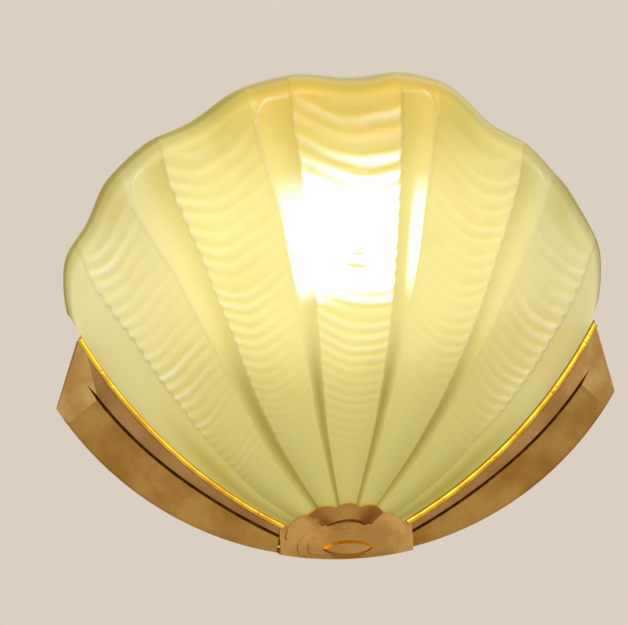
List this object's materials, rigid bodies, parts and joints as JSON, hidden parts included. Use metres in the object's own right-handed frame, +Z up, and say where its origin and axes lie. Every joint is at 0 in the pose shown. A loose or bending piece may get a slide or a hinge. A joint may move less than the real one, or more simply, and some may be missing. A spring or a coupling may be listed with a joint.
{
  "type": "shell wall sconce",
  "caption": "Wall light with a fluted scallop shell of frosted glass that slips into a gilt crescent cradle, with a screw lampholder behind.",
  "frame": {"origin": "on the wall, behind the middle of the cradle: the back face of the back plate, level with Z = 0 of the source", "axes": "+Z up, +X to the right of someone facing the light, -Y out from the wall towards the room; the wall is the plane Y = 0"},
  "size_m": [0.28, 0.1006, 0.2353],
  "materials": {
    "plated_steel": "zinc-plated sheet",
    "black_rubber": "matt",
    "gilt_brass": "antique gilt, satin",
    "bright_brass": "polished",
    "brass_holder": "lacquered",
    "brown_felt": "felt",
    "aluminium": "mill",
    "screw_steel": "zinc-plated",
    "amber_glass": "pressed, frosted inside, amber stained",
    "porcelain": "glazed porcelain",
    "solder": "solder",
    "black_glass": "vitrite",
    "nickel_cap": "nickel-plated",
    "lit_glass": "opal",
    "white_plastic": "moulded"
  },
  "bodies": {
    "fitting": {"back_plate": "plated_steel", "cable_grommet": "black_rubber", "cradle_arm_left": "gilt_brass", "cradle_arm_right": "gilt_brass", "edge_strip_left": "bright_brass", "edge_strip_right": "bright_brass", "centre_boss": "gilt_brass", "seat_pad_left": "brown_felt", "seat_pad_right": "brown_felt", "seat_pad_centre": "brown_felt", "hub_shelf": "plated_steel", "shelf_rivets": "aluminium", "casting_screws": "screw_steel", "lamp_bracket": "plated_steel", "bracket_screws": "screw_steel", "lamp_nipple": "bright_brass", "nipple_washer": "screw_steel", "nipple_nut": "bright_brass", "holder_cap": "brass_holder", "holder_sleeve": "brass_holder", "holder_core": "porcelain", "holder_screw_shell": "bright_brass", "holder_contact": "bright_brass", "holder_terminal_screws": "bright_brass", "terminal_block": "white_plastic", "terminal_clamp_screws": "screw_steel", "terminal_fixing_screw": "screw_steel", "earth_washer": "bright_brass", "earth_screw": "bright_brass"},
    "shade": {"glass_shade": "amber_glass"},
    "lamp": {"bulb_contact": "solder", "bulb_insulator": "black_glass", "bulb_cap": "nickel_cap", "bulb_envelope": "lit_glass"}
  },
  "joints": [
    {"name": "shade_lift", "type": "slide", "parent": "fitting", "child": "shade", "axis": [0, -0.3584, 0.9336], "range_m": [0, 0.2]},
    {"name": "bulb_out", "type": "slide", "parent": "fitting", "child": "lamp", "axis": [0, -0.1736, 0.9848], "range_m": [0, 0.03]}
  ]
}
